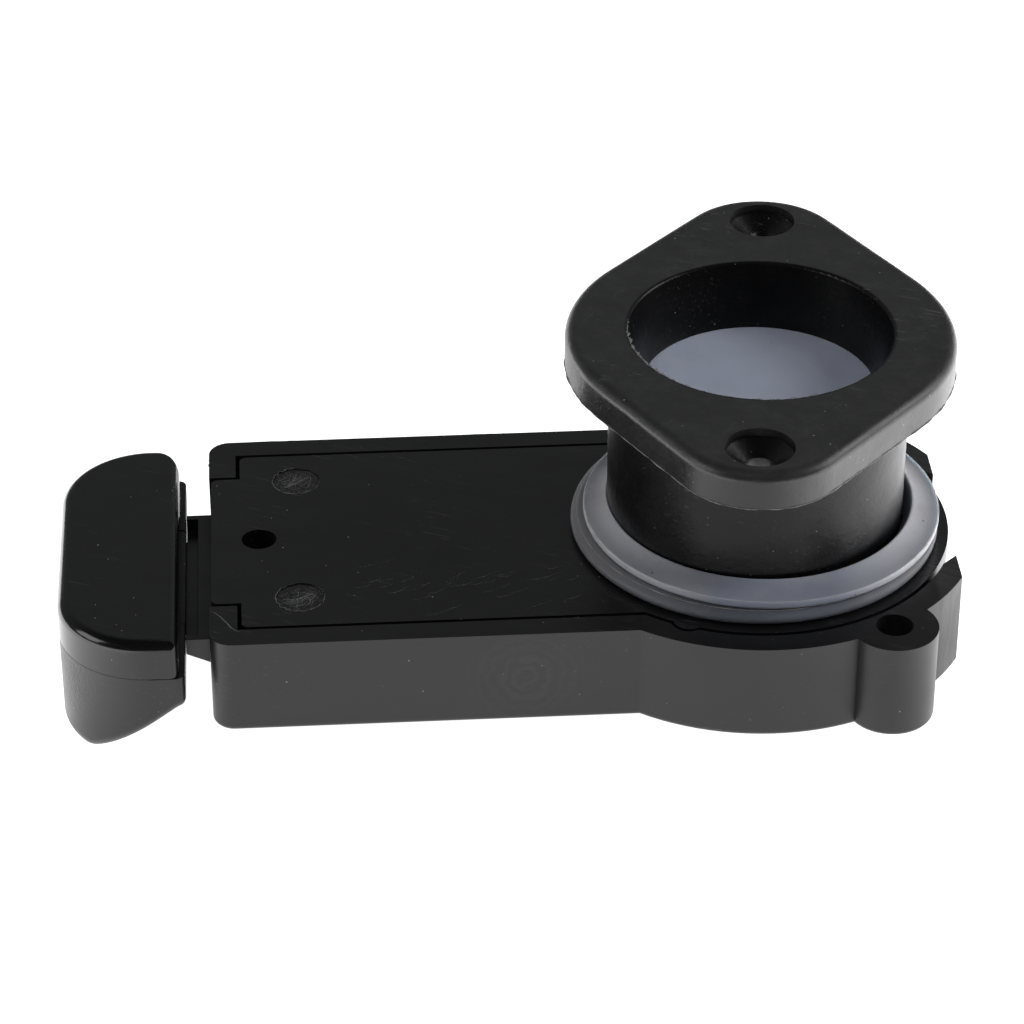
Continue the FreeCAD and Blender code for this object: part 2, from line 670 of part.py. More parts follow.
def make_handle_cap():
    """The cap's upright walls and its domed crown are two blocks, and the cap is what they share."""
    inner_x = "-handle_inner_x - cap_setback"
    walls = make_handle_blank("cap_walls", "parting_z", "housing_top + overcut", inner_x)
    round_corner(walls, inner_x, "-handle_y", "handle_inner_corner")
    round_corner(walls, inner_x, "handle_y", "cap_back_corner")
    hollow = new_sketch(walls, "cap_hollow", "parting_z")
    add_core_outline(hollow, "handle_wall")
    pocket_up(walls, hollow, "housing_top - parting_z - cap_roof")
    crown = make_handle_blank("cap_crown", "parting_z - overcut", "housing_top", inner_x)
    round_edges(crown, flat_at(number("housing_top")), "handle_top_edge")
    cap = doc.addObject("Part::Common", "handle_cap")
    cap.Label = "handle_cap"
    cap.Base, cap.Tool = walls, crown
    doc.recompute()
    return keep(cap)


# ---------------------------------------------------------------- check disc group
def make_check_disc():
    body = new_body("check_disc")
    plate = new_sketch(body, "disc_plan", "lip_underside - disc_thickness")
    add_circle(plate, "0", "0", "disc_radius")
    pad(body, plate, "disc_thickness")
    return keep(body)


def make_disc_pin():
    body = new_body("disc_pin")
    flange = new_sketch(body, "pin_head", "lip_underside - disc_thickness - pin_flange")
    add_circle(flange, "0", "0", "pin_flange_radius")
    pad(body, flange, "pin_flange")
    pin = new_sketch(body, "pin_shank", "pin_foot")
    add_circle(pin, "0", "0", "pin_radius")
    pad(body, pin, "lip_underside - disc_thickness - pin_flange / 2 - pin_foot")
    return keep(body)


def make_disc_spider():
    body = new_body("disc_spider")
    rim = new_sketch(body, "spider_rim", "spider_underside")
    add_circle(rim, "0", "0", "bore_radius - spider_play")
    add_circle(rim, "0", "0", "bore_radius - spider_rim")
    pad(body, rim, "spider_thickness")
    arm = new_sketch(body, "spider_arm", "spider_underside")
    add_rectangle(arm, "0", "bore_radius - spider_rim / 2", "-spider_arm", "spider_arm")
    pad(body, arm, "spider_thickness")
    pattern = body.newObject("PartDesign::PolarPattern", "spider_arms")
    pattern.Originals = [body.Tip]
    pattern.Axis = (rim, ["N_Axis"])
    pattern.Angle = 360
    pattern.Occurrences = 3
    body.Tip = pattern
    doc.recompute()
    hub = new_sketch(body, "spider_hub", "spider_underside")
    add_circle(hub, "0", "0", "spider_hub_radius")
    pad(body, hub, "spider_thickness")
    hole = new_sketch(body, "spider_hole", "spider_underside")
    add_circle(hole, "0", "0", "pin_radius + pin_play")
    pocket_up(body, hole, "spider_thickness")
    return keep(body)


def make_disc_spring():
    """A coil between the spider and the pin's head, swept along a helix."""
    foot = "spider_underside + spider_thickness + spring_wire"
    head_underside = "lip_underside - disc_thickness - pin_flange"
    length = head_underside + " - spider_underside - spider_thickness - 2 * spring_wire"
    helix = doc.addObject("Part::Helix", "spring_path")
    helix.setExpression("Pitch", linked(f"({length}) / spring_turns"))
    helix.setExpression("Height", linked(length))
    helix.setExpression("Radius", linked("spring_radius"))
    helix.setExpression("Placement.Base.z", linked(foot))
    section = doc.addObject("Part::Circle", "spring_section")
    section.setExpression("Radius", linked("spring_wire"))
    section.Placement.Rotation = FreeCAD.Rotation(FreeCAD.Vector(1, 0, 0), 90)
    section.setExpression("Placement.Base.x", linked("spring_radius"))
    section.setExpression("Placement.Base.z", linked(foot))
    spring = doc.addObject("Part::Sweep", "disc_spring")
    spring.Label = "disc_spring"
    spring.Sections = [section]
    spring.Spine = (helix, [])
    spring.Solid = True
    spring.Frenet = True
    return keep(spring)


def make_pin_clip():
    body = new_body("pin_clip")
    ring = new_sketch(body, "clip_plan", "spider_underside - clip_drop")
    add_circle(ring, "0", "0", "pin_radius + clip_width")
    add_circle(ring, "0", "0", "pin_radius")
    pad(body, ring, "clip_thickness")
    return keep(body)


# ---------------------------------------------------------------- screws
def make_screw(name, length):
    """A pan-head screw standing on its tip, head up, with a cross recess; the head's seat is at z = 0."""
    head_height, shank_length = number("screw_head"), number(length)
    head = doc.addObject("Part::Cylinder", name + "_head")
    head.Radius, head.Height = number("screw_head_radius"), head_height
    shank = doc.addObject("Part::Cylinder", name + "_shank")
    shank.Radius, shank.Height = number("screw_core"), shank_length
    shank.Placement.Base.z = -shank_length
    whole = doc.addObject("Part::Fuse", name + "_blank")
    whole.Base, whole.Tool = head, shank
    across, width, depth = number("cross_length"), number("cross_width"), number("cross_depth")
    cross = []
    for turn in (0, 90):
        slot = doc.addObject("Part::Box", f"{name}_slot_{turn}")
        slot.Length, slot.Width, slot.Height = across, width, head_height
        place = FreeCAD.Placement(FreeCAD.Vector(0, 0, head_height - depth), FreeCAD.Rotation(turn, 0, 0))
        offset = FreeCAD.Placement(FreeCAD.Vector(-across / 2, -width / 2, 0), FreeCAD.Rotation())
        slot.Placement = place.multiply(offset)
        cross.append(slot)
    recess = doc.addObject("Part::MultiFuse", name + "_recess")
    recess.Shapes = cross
    screw = doc.addObject("Part::Cut", name)
    screw.Base, screw.Tool = whole, recess
    doc.recompute()
    return screw


def make_screw_pair(name, upside_down):
    """Two like screws, one each side of the middle plane, as one group; their dimensions carry its name."""
    screw = make_screw(name, name + "_length")
    turn = FreeCAD.Rotation(FreeCAD.Vector(1, 0, 0), 180 if upside_down else 0)
    copies = []
    for side, y in enumerate(on_both_sides(name + "_y")):
        copy = doc.addObject("Part::Feature", f"{name}s_{side}")
        copy.Shape = screw.Shape.copy()
        seat = FreeCAD.Vector(-number(name + "_x"), number(y), number(name + "_seat"))
        copy.Placement = FreeCAD.Placement(seat, turn)
        copies.append(copy)
    group = doc.addObject("Part::Compound", name + "s")
    group.Label = name + "s"
    group.Links = copies
    return keep(group)


# ---------------------------------------------------------------- assembly
make_housing()
make_cover_plate()
make_deck_flange()
make_gaskets()
make_torus("neck_o_ring", "neck_radius - o_ring_section", "o_ring_section", "neck_groove_z")
make_face_seal("gate_seal_lower", "floor_top - seal_groove", "gate_underside - seal_play")
make_face_seal("gate_seal_upper", "gate_top + seal_play", "neck_foot + seal_groove")
make_gate_plate()
make_stem()
make_frame("stem_wiper", "-wiper_x", "wiper_length", "seal_play")
make_frame("wiper_retainer", "-wiper_x + wiper_length", "retainer_length", "retainer_gap")
make_handle_shell()
make_handle_cap()
make_disc_spider()
make_check_disc()
make_disc_pin()
make_disc_spring()
make_pin_clip()
make_screw_pair("gate_screw", upside_down=False)
make_screw_pair("handle_screw", upside_down=True)
doc.recompute()

# ---------------------------------------------------------------- checks and files
for item in doc.Objects:
    if "Invalid" in item.State or "Error" in item.State:
        raise RuntimeError(f"{item.Label} failed: {item.State}")
for node in NODES:
    if node.Shape.isNull() or not node.Shape.isValid() or not node.Shape.Solids:
        raise RuntimeError(f"{node.Label} has no valid solid")
os.makedirs("parts", exist_ok=True)
for node in NODES:
    node.Shape.exportStep(f"parts/{node.Label}.step")
    box = node.Shape.BoundBox
    print(f"{node.Label:18s} solids {len(node.Shape.Solids)} volume {node.Shape.Volume:9.1f}",
          f" x {box.XMin:7.2f} {box.XMax:7.2f}  y {box.YMin:7.2f} {box.YMax:7.2f}",
          f" z {box.ZMin:6.2f} {box.ZMax:6.2f}")
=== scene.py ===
import json
import math

import bpy
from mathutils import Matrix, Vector, noise


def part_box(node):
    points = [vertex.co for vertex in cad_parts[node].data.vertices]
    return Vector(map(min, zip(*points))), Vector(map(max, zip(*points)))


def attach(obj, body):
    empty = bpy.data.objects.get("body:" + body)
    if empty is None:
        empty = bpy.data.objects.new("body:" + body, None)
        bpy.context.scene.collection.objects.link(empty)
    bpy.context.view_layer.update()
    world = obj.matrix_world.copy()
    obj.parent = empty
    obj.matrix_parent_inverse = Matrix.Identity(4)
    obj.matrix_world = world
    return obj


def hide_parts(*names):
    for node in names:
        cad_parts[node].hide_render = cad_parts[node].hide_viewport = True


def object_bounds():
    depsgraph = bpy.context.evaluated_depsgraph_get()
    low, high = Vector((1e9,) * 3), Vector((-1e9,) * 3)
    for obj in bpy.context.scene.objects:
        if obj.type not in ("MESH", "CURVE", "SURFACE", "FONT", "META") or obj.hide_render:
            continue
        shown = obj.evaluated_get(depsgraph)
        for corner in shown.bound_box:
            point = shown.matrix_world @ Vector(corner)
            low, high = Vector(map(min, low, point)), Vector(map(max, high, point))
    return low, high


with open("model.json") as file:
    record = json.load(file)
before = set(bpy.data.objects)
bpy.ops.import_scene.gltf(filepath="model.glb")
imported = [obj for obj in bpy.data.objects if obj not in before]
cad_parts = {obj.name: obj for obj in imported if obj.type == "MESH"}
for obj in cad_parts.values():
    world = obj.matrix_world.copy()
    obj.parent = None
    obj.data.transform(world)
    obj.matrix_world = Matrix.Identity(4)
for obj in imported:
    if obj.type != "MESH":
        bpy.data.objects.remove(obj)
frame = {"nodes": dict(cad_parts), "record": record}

MM = 0.001
cad_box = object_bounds()
scene = bpy.context.scene
record = frame["record"]
mounts = {mount["name"]: mount for mount in record["mounts"]}
slots = {entry["node"]: entry["material_slot"] for entry in record["subparts"]}

# Driving sizes, in millimetres and degrees; azimuth 0 is in front, at -Y, and 90 is at +X.
LENS, SENSOR_WIDTH = 137.7, 36.0
CAMERA_TARGET = (-35.3, 4.8, 15.0)
CAMERA_DISTANCE, CAMERA_AZIMUTH, CAMERA_ELEVATION = 579.0, -3.74, 33.4
LIT_POINT, SOFTBOX_DISTANCE = (-30.0, 0.0, 15.0), 800.0
SOFTBOXES = (                         # name, azimuth, elevation, width, watts, whether it shows in highlights
    ("top_softbox", -20, 70, 500.0, 3.0, False),
    ("right_softbox", 95, 24, 400.0, 2.0, True),
    ("right_fill", 85, 35, 400.0, 5.0, False),
    ("left_softbox", -80, 25, 400.0, 1.6, True))
ROOM_FRONT, ROOM_BACK, ROOM_OVERHEAD = 0.03, 0.19, 0.12   # how bright the room is; overhead is a share
TABLE_SIZE, TABLE_GAP = 6000.0, 0.05
TABLE_MIDDLE = -34.0                  # the table glows more beyond the two ends of the object
TABLE_GLOW_START, TABLE_GLOW_END = 48.0, 125.0
TABLE_GLOW, TABLE_END_GLOW = 1.03, 2.7
SOFT_EDGE, SMALL_EDGE = 0.24, 0.12    # what the moulding leaves of a sharp edge
SHARP_ANGLE, FLAT_ANGLE = 32.0, 0.4
FRONT_WALL_Y = -26.3                  # the housing's front wall lies beyond this
SWIRL_X, SWIRL_Z = -35.4, 7.5         # centre of the gate swirl on that wall
FIN_X = 24.5                          # the two fins at the round end lie beyond this
MARK_X, MARK_Y, MARK_RADIUS = -67.0, 15.3, 3.5    # the cover's two ejector marks, at +Y and -Y
GRIP_PATCH = (-101.0, -18.0, 7.0)     # the pebbled patch on the grip
FLANGE_FOOT = mounts["deck_screws"]["pos_m"][2] / MM
FLANGE_TOP_RISE = 4.6                 # from the flange's foot to where its duller top, painted lighter, begins
NECK_RADIUS = mounts["neck"]["dims"]["r_mm"]
BORE_RADIUS = mounts["outlet_port"]["dims"]["r_mm"]
UPPER_RING_WIDTH, LOWER_RING_WIDTH = 3.65, 4.25
UPPER_RIM_RISE, LOWER_STEP = 1.3, 0.9    # height of the upper ring's rim; how far the lower one steps in
PAINTED_GLOW_REACH = 8.0, 26.0                # between these, to left and right, the rings fade into a painted glow that stands in for light coming through them
DISC_DISH = 0.12
BORE_THREADS = (                      # name, start and end angle, depth under the rim, thickness and seed
    ("bore_rim_flash", 168, 232, 0.06, 0.22, 7.0),
    ("bore_rim_tear", 176, 214, 0.35, 0.26, 8.0),
    ("bore_rim_thread", 228, 320, 0.10, 0.07, 9.0))
SCRIBBLES, SCRATCHES = 22, 34         # strokes in each ejector mark, and on the rest of the cover
STEP_LINE = (                         # curved step from the tongue's gap to the cover's corner, its light grey a painted highlight on the step's edge
    (-80.0, -17.7, 15), (-79.2, -18.5, 15), (-78.4, -19.5, 15), (-77.5, -21.1, 15), (-76.9, -22.3, 15),
    (-76.2, -23.1, 15), (-75.6, -23.3, 15))


# ---------------------------------------------------------------- camera, light and floor
def aim(thing, place, target):
    """Put a camera or light somewhere and turn it to look at a point."""
    thing.location = place
    thing.rotation_euler = (Vector(target) - Vector(place)).to_track_quat("-Z", "Y").to_euler()


def around(target, distance, azimuth, elevation):
    """A point at a distance from the target, in the target's unit."""
    turn, lift = math.radians(azimuth), math.radians(elevation)
    offset = Vector((math.sin(turn) * math.cos(lift), -math.cos(turn) * math.cos(lift), math.sin(lift)))
    return Vector(target) + offset * distance


def make_camera():
    data = bpy.data.cameras.new("camera")
    data.sensor_width = SENSOR_WIDTH
    data.lens = LENS
    data.clip_start = 10 * MM
    camera = bpy.data.objects.new("camera", data)
    scene.collection.objects.link(camera)
    target = Vector(CAMERA_TARGET) * MM
    aim(camera, around(target, CAMERA_DISTANCE * MM, CAMERA_AZIMUTH, CAMERA_ELEVATION), target)
    scene.camera = camera


def make_softbox(name, azimuth, elevation, width, power, glossy):
    """A square soft light; with glossy False it lights surfaces but leaves no highlight of its own shape."""
    data = bpy.data.lights.new(name, "AREA")
    data.size = width * MM
    data.energy = power
    light = bpy.data.objects.new(name, data)
    scene.collection.objects.link(light)
    middle = Vector(LIT_POINT) * MM
    aim(light, around(middle, SOFTBOX_DISTANCE * MM, azimuth, elevation), middle)
    light.visible_glossy = glossy


def set_range(node, from_low, from_high, to_low, to_high):
    limits = {"From Min": from_low, "From Max": from_high, "To Min": to_low, "To Max": to_high}
    for socket, value in limits.items():
        node.inputs[socket].default_value = value


def smooth_range(tree, source, *limits):
    """The source eased from one range of values to another."""
    node = tree.nodes.new("ShaderNodeMapRange")
    node.interpolation_type = "SMOOTHSTEP"
    set_range(node, *limits)
    tree.links.new(source, node.inputs["Value"])
    return node.outputs["Result"]


def calculate(tree, operation, first, second=0.0):
    """A math node on numbers or sockets."""
    node = tree.nodes.new("ShaderNodeMath")
    node.operation = operation
    for socket, value in zip(node.inputs, (first, second)):
        if isinstance(value, (int, float)):
            socket.default_value = value
        else:
            tree.links.new(value, socket)
    return node.outputs["Value"]


def split_axes(tree, vector):
    """The X, Y and Z of a vector."""
    node = tree.nodes.new("ShaderNodeSeparateXYZ")
    tree.links.new(vector, node.inputs["Vector"])
    return node.outputs


def make_room():
    """A dim room, brighter behind the object and dark overhead, that the camera sees as plain white."""
    world = bpy.data.worlds.new("studio")
    world.use_nodes = True
    tree = world.node_tree
    room = tree.nodes["Background"]
    room.inputs["Color"].default_value = (0.95, 0.97, 1.0, 1.0)
    direction = split_axes(tree, tree.nodes.new("ShaderNodeTexCoord").outputs["Generated"])
    back = smooth_range(tree, direction["Y"], -0.6, 0.8, ROOM_FRONT, ROOM_BACK)
    above = smooth_range(tree, direction["Z"], 0.6, 0.95, 1.0, ROOM_OVERHEAD)
    tree.links.new(calculate(tree, "MULTIPLY", back, above), room.inputs["Strength"])
    paper = tree.nodes.new("ShaderNodeBackground")
    paper.inputs["Color"].default_value = (1.0, 1.0, 1.0, 1.0)
    choice = tree.nodes.new("ShaderNodeMixShader")
    tree.links.new(tree.nodes.new("ShaderNodeLightPath").outputs["Is Camera Ray"], choice.inputs["Fac"])
    tree.links.new(room.outputs["Background"], choice.inputs[1])
    tree.links.new(paper.outputs["Background"], choice.inputs[2])
    tree.links.new(choice.outputs["Shader"], tree.nodes["World Output"].inputs["Surface"])
    scene.world = world
    scene.view_settings.view_transform = "Standard"


def make_table():
    """A wide white table that glows a little, more so beyond the two ends of the object."""
    mesh = bpy.data.meshes.new("floor")
    half = TABLE_SIZE / 2 * MM
    corners = [(-half, -half, 0), (half, -half, 0), (half, half, 0), (-half, half, 0)]
    mesh.from_pydata(corners, [], [(0, 1, 2, 3)])
    table = bpy.data.objects.new("floor", mesh)
    scene.collection.objects.link(table)
    table.location.z = cad_box[0][2] - TABLE_GAP * MM
    material = bpy.data.materials.new("white_table")
    material.use_nodes = True
    tree = material.node_tree
    shader = tree.nodes["Principled BSDF"]
    shader.inputs["Base Color"].default_value = (0.4, 0.4, 0.4, 1.0)
    shader.inputs["Roughness"].default_value = 0.9
    shader.inputs["Specular IOR Level"].default_value = 0.0
    shader.inputs["Emission Color"].default_value = (1.0, 1.0, 1.0, 1.0)
    place = split_axes(tree, tree.nodes.new("ShaderNodeTexCoord").outputs["Object"])
    away = calculate(tree, "ABSOLUTE", calculate(tree, "SUBTRACT", place["X"], TABLE_MIDDLE * MM))
    glow = smooth_range(tree, away, TABLE_GLOW_START * MM, TABLE_GLOW_END * MM, TABLE_GLOW, TABLE_END_GLOW)
    tree.links.new(glow, shader.inputs["Emission Strength"])
    mesh.materials.append(material)


# ---------------------------------------------------------------- shader building blocks
class Shader:
    """A material with a Principled shader, and short calls that add its texture nodes."""

    def __init__(self, name, **constants):
        self.material = bpy.data.materials.new(name)
        self.material.use_nodes = True
        self.tree = self.material.node_tree
        self.shader = self.tree.nodes["Principled BSDF"]
        self.place = self.tree.nodes.new("ShaderNodeTexCoord").outputs["Object"]
        for socket, value in constants.items():
            self.shader.inputs[socket.replace("_", " ")].default_value = value

    def link(self, source, target):
        self.tree.links.new(source, target)

    def drive(self, **sources):
        for socket, source in sources.items():
            self.link(source, self.shader.inputs[socket.replace("_", " ")])

    def mapped(self, scale=(1, 1, 1), turn=0.0):
        """The object's coordinates, turned about Z by some degrees and then scaled."""
        turned = self.tree.nodes.new("ShaderNodeMapping")
        turned.inputs["Rotation"].default_value = (0, 0, math.radians(turn))
        self.link(self.place, turned.inputs["Vector"])
        node = self.tree.nodes.new("ShaderNodeMapping")
        node.inputs["Scale"].default_value = scale
        self.link(turned.outputs["Vector"], node.inputs["Vector"])
        return node.outputs["Vector"]

    def noise(self, scale, detail=3.0, place=None, roughness=0.5):
        """Cloudy noise from 0 to 1, with about that many clouds to a metre."""
        node = self.tree.nodes.new("ShaderNodeTexNoise")
        node.inputs["Scale"].default_value = scale
        node.inputs["Detail"].default_value = detail
        node.inputs["Roughness"].default_value = roughness
        self.link(place or self.place, node.inputs["Vector"])
        return node.outputs["Fac"]

    def ramp(self, source, low, high, start=0.0, end=1.0):
        """Goes from start to end while the source goes from low to high."""
        node = self.tree.nodes.new("ShaderNodeMapRange")
        set_range(node, low, high, start, end)
        self.link(source, node.inputs["Value"])
        return node.outputs["Result"]

    def math(self, operation, first, second=0.0):
        return calculate(self.tree, operation, first, second)

    def times(self, *values):
        result = values[0]
        for value in values[1:]:
            result = self.math("MULTIPLY", result, value)
        return result

    def most(self, *values):
        result = values[0]
        for value in values[1:]:
            result = self.math("MAXIMUM", result, value)
        return result

    def blend(self, factor, first, second):
        """Mix two colours, each a tuple or a socket."""
        node = self.tree.nodes.new("ShaderNodeMix")
        node.data_type = "RGBA"
        self.link(factor, node.inputs["Factor"])
        for socket, value in ((node.inputs["A"], first), (node.inputs["B"], second)):
            if isinstance(value, tuple):
                socket.default_value = (*value, 1.0)
            else:
                self.link(value, socket)
        return node.outputs["Result"]

    def bump(self, height, depth, under=None):
        """Raise the surface by up to a depth in metres, on top of an earlier bump."""
        node = self.tree.nodes.new("ShaderNodeBump")
        node.inputs["Distance"].default_value = depth
        self.link(height, node.inputs["Height"])
        if under is not None:
            self.link(under, node.inputs["Normal"])
        return node.outputs["Normal"]

    def distance(self, centre, ignore=()):
        """Distance in metres from a point in millimetres, seen along the ignored axes."""
        keep = [0.0 if axis in ignore else 1.0 for axis in "xyz"]
        node = self.tree.nodes.new("ShaderNodeVectorMath")
        node.operation = "DISTANCE"
        self.link(self.mapped(keep), node.inputs[0])
        node.inputs[1].default_value = [value * MM * share for value, share in zip(centre, keep)]
        return node.outputs["Value"]

    def zone(self, centre, inner, outer, ignore=()):
        """1 within a radius of a point, fading to 0 at a wider radius, all in millimetres."""
        return self.ramp(self.distance(centre, ignore), inner * MM, outer * MM, 1.0, 0.0)

    def beyond(self, axis, start, soft):
        """0 below a place on an axis and 1 above it, in millimetres."""
        return self.ramp(split_axes(self.tree, self.place)[axis], (start - soft) * MM, (start + soft) * MM)

    def specks(self, scale, size, share):
        """1 inside small round specks, in about that share of the cells of a scale."""
        node = self.tree.nodes.new("ShaderNodeTexVoronoi")
        node.inputs["Scale"].default_value = scale
        self.link(self.place, node.inputs["Vector"])
        chosen = self.tree.nodes.new("ShaderNodeSeparateColor")
        self.link(node.outputs["Color"], chosen.inputs["Color"])
        kept = self.ramp(chosen.outputs["Red"], 1.0 - share, 1.001 - share)
        return self.times(self.ramp(node.outputs["Distance"], size * 0.5, size, 1.0, 0.0), kept)

    def scratches(self, scale, stretch, turn, rarity):
        """Thin broken lines along one direction, the fewer the higher the rarity."""
        lines = self.noise(scale, 2.0, self.mapped((1.0, stretch, stretch), turn))
        return self.ramp(lines, rarity, rarity + 0.012)


# ---------------------------------------------------------------- materials
def moulded_plastic(name, tone, roughness, scuffs=0.5, grain=1.0, dents=1.0, marks=None):
    """Black injection-moulded plastic: flow marks, fine grain, dust, short scuffs and local mould marks.

    marks(make) adds what is special to one part: a mask of paler, rougher places (mould marks and wear, and
    on the flange its top, painted lighter), a height and the height's depth.
    """
    make = Shader(name, IOR=1.5)
    flow = make.noise(55.0, 3.0)
    cloud = make.noise(190.0, 5.0, roughness=0.62)
    streaks = make.noise(120.0, 3.0, make.mapped((0.25, 1.0, 1.0), 12.0))
    fine = make.noise(3000.0, 2.0)
    scuff = make.times(make.scratches(210.0, 16.0, 24.0, 0.675), make.ramp(flow, 0.48, 0.62))
    cross = make.times(make.scratches(300.0, 22.0, -58.0, 0.69), make.ramp(cloud, 0.5, 0.66))
    worn = make.most(scuff, cross)
    dust = make.most(make.specks(520.0, 0.08, 0.06), make.specks(1300.0, 0.14, 0.035))
    pale = tuple(part + 0.10 for part in tone)
    dark = tuple(part * 0.7 for part in tone)
    colour = make.blend(make.ramp(cloud, 0.3, 0.75), dark, tone)
    colour = make.blend(make.times(worn, 0.35 * scuffs), colour, pale)
    colour = make.blend(make.times(dust, 0.8), colour, (0.22, 0.22, 0.225))
    rough = make.ramp(streaks, 0.3, 0.72, roughness - 0.05, roughness + 0.07)
    rough = make.math("ADD", rough, make.times(worn, 0.3 * scuffs))
    normal = make.bump(flow, 0.10 * MM * dents)
    normal = make.bump(fine, 0.004 * MM * grain, normal)
    normal = make.bump(make.math("ADD", cloud, make.times(worn, -0.5 * scuffs)), 0.012 * MM, normal)
    if marks:
        mask, height, depth = marks(make)
        rough = make.math("ADD", rough, make.times(mask, 0.22))
        # paler where the mask is: mould marks and wear, and on the flange's top painted light
        colour = make.blend(make.times(mask, 0.35), colour, pale)
        normal = make.bump(height, depth, normal)
    make.drive(Base_Color=colour, Roughness=rough, Normal=normal)
    return make.material


def housing_marks(make):
    """The swirl round the gate mark on the front wall and the rough cut tops of the two fins."""
    front = make.math("SUBTRACT", 1.0, make.beyond("Y", FRONT_WALL_Y, 0.1))
    reach = make.distance((SWIRL_X, 0, SWIRL_Z), "y")
    wander = make.times(make.noise(380.0, 4.0, roughness=0.7), 16.0)
    ripple = make.math("SINE", make.math("ADD", make.times(reach, 3600.0), wander))
    core = make.ramp(reach, 3.4 * MM, 6.2 * MM, 1.0, 0.0)
    ring = make.times(make.ramp(reach, 4.6 * MM, 5.4 * MM), make.ramp(reach, 6.4 * MM, 9.2 * MM, 1.0, 0.0))
    swirl = make.times(front, make.most(core, make.times(ring, 0.5)), 0.25)
    fins = make.beyond("X", FIN_X, 0.4)
    cut = make.times(fins, make.noise(900.0, 3.0, make.mapped((1.0, 0.12, 0.3), -62.0)))
    mask = make.most(make.times(swirl, make.ramp(ripple, -0.4, 1.0)), make.times(cut, 0.7))
    height = make.math("ADD", make.times(swirl, ripple, 0.05), make.times(cut, 1.2))
    return mask, height, 0.07 * MM


def cover_marks(make):
    """Fine scribbles in the ejector marks near the handle end."""
    places = [(MARK_X, y, 0) for y in (-MARK_Y, MARK_Y)]
    mask = make.most(*(make.zone(place, MARK_RADIUS - 0.3, MARK_RADIUS, "z") for place in places))
    scribble = make.noise(1500.0, 2.0, make.mapped((0.45, 1.0, 1.0), 28.0), 0.6)
    lines = make.ramp(make.math("ABSOLUTE", make.math("SUBTRACT", scribble, 0.5)), 0.0, 0.05, 1.0, 0.0)
    drawn = make.times(mask, lines)
    return drawn, drawn, 0.06 * MM


def flange_marks(make):
    """The flange's top is duller than the rest and painted lighter for the light falling on it, and the neck
    and bore shine less than its sides.
    """
    outside = make.math("SUBTRACT", 1.0, make.zone((0, 0, 0), BORE_RADIUS + 0.2, BORE_RADIUS + 0.6, "z"))
    flange = make.times(make.beyond("Z", FLANGE_FOOT, 0.2), outside)
    make.drive(Specular_IOR_Level=make.ramp(flange, 0.0, 1.0, 0.24, 0.5))
    # painted light: the whole top face is made paler, for the light falling on it, as well as duller
    top = make.times(make.beyond("Z", FLANGE_FOOT + FLANGE_TOP_RISE, 0.4), outside)
    grain = make.ramp(make.noise(300.0, 5.0, roughness=0.75), 0.45, 0.75)
    return make.times(top, make.math("ADD", make.times(grain, 0.2), 0.24)), grain, 0.03 * MM


def shell_marks(make):
    """A pebbled patch on the outer side of the grip."""
    patch = make.times(make.zone(GRIP_PATCH, 5.0, 9.0), make.noise(2200.0, 2.0, roughness=0.6))
    return make.times(patch, 0.3), patch, 0.10 * MM


def silicone(name, tone, edge_tone, roughness, subsurface, depth, ends=None):
    """Milky translucent silicone: cloudy, warmer in random stains, with dust and an orange-peel skin.

    ends is a lighter tone painted at a ring's left and right, a painted glow that stands in for light coming
    through it.
    """
    make = Shader(name, IOR=1.41, Subsurface_Weight=subsurface, Subsurface_Scale=depth, Sheen_Weight=0.05)
    make.shader.inputs["Subsurface Radius"].default_value = (0.7, 0.85, 1.0)
    cloud = make.noise(90.0, 4.0)
    fine = make.noise(1300.0, 2.0)
    stain = make.ramp(make.noise(160.0, 5.0, roughness=0.7), 0.52, 0.75, 0.0, 0.5)
    dark = tuple(part * 0.85 for part in tone)
    colour = make.blend(make.ramp(cloud, 0.3, 0.7), dark, tone)
    if ends:
        # painted glow: away from the middle the ring is painted in the lighter ends tone, for light coming
        # through it
        colour = make.blend(make.zone((0, 0, 0), *PAINTED_GLOW_REACH, "yz"), ends, colour)
    colour = make.blend(stain, colour, edge_tone)
    dirt = make.most(make.specks(420.0, 0.11, 0.12), make.specks(900.0, 0.12, 0.05))
    colour = make.blend(make.times(dirt, 0.7), colour, (0.03, 0.03, 0.028))
    rough = make.ramp(cloud, 0.3, 0.75, roughness, roughness + 0.12)
    normal = make.bump(fine, 0.005 * MM, make.bump(cloud, 0.08 * MM))
    make.drive(Base_Color=colour, Roughness=rough, Normal=normal)
    return make.material


def black_rubber(name):
    """Dull rubber for the seals and the wiper, with a fine grain."""
    make = Shader(name)
    cloud = make.noise(220.0, 4.0)
    colour = make.blend(make.ramp(cloud, 0.3, 0.7), (0.008, 0.008, 0.008), (0.02, 0.02, 0.02))
    normal = make.bump(make.noise(1800.0), 0.01 * MM)
    make.drive(Base_Color=colour, Roughness=make.ramp(cloud, 0.3, 0.7, 0.5, 0.68), Normal=normal)
    return make.material


def natural_acetal(name):
    """Waxy off-white plastic for the gate's blade, rubbed along X."""
    make = Shader(name, IOR=1.48, Subsurface_Weight=0.15, Subsurface_Scale=0.002)
    cloud = make.noise(90.0, 4.0)
    lines = make.scratches(300.0, 25.0, 0.0, 0.62)
    colour = make.blend(make.ramp(cloud, 0.3, 0.7), (0.70, 0.70, 0.67), (0.80, 0.80, 0.77))
    colour = make.blend(make.times(lines, 0.3), colour, (0.5, 0.5, 0.48))
    normal = make.bump(lines, 0.01 * MM)
    make.drive(Base_Color=colour, Roughness=make.ramp(cloud, 0.3, 0.7, 0.28, 0.42), Normal=normal)
    return make.material


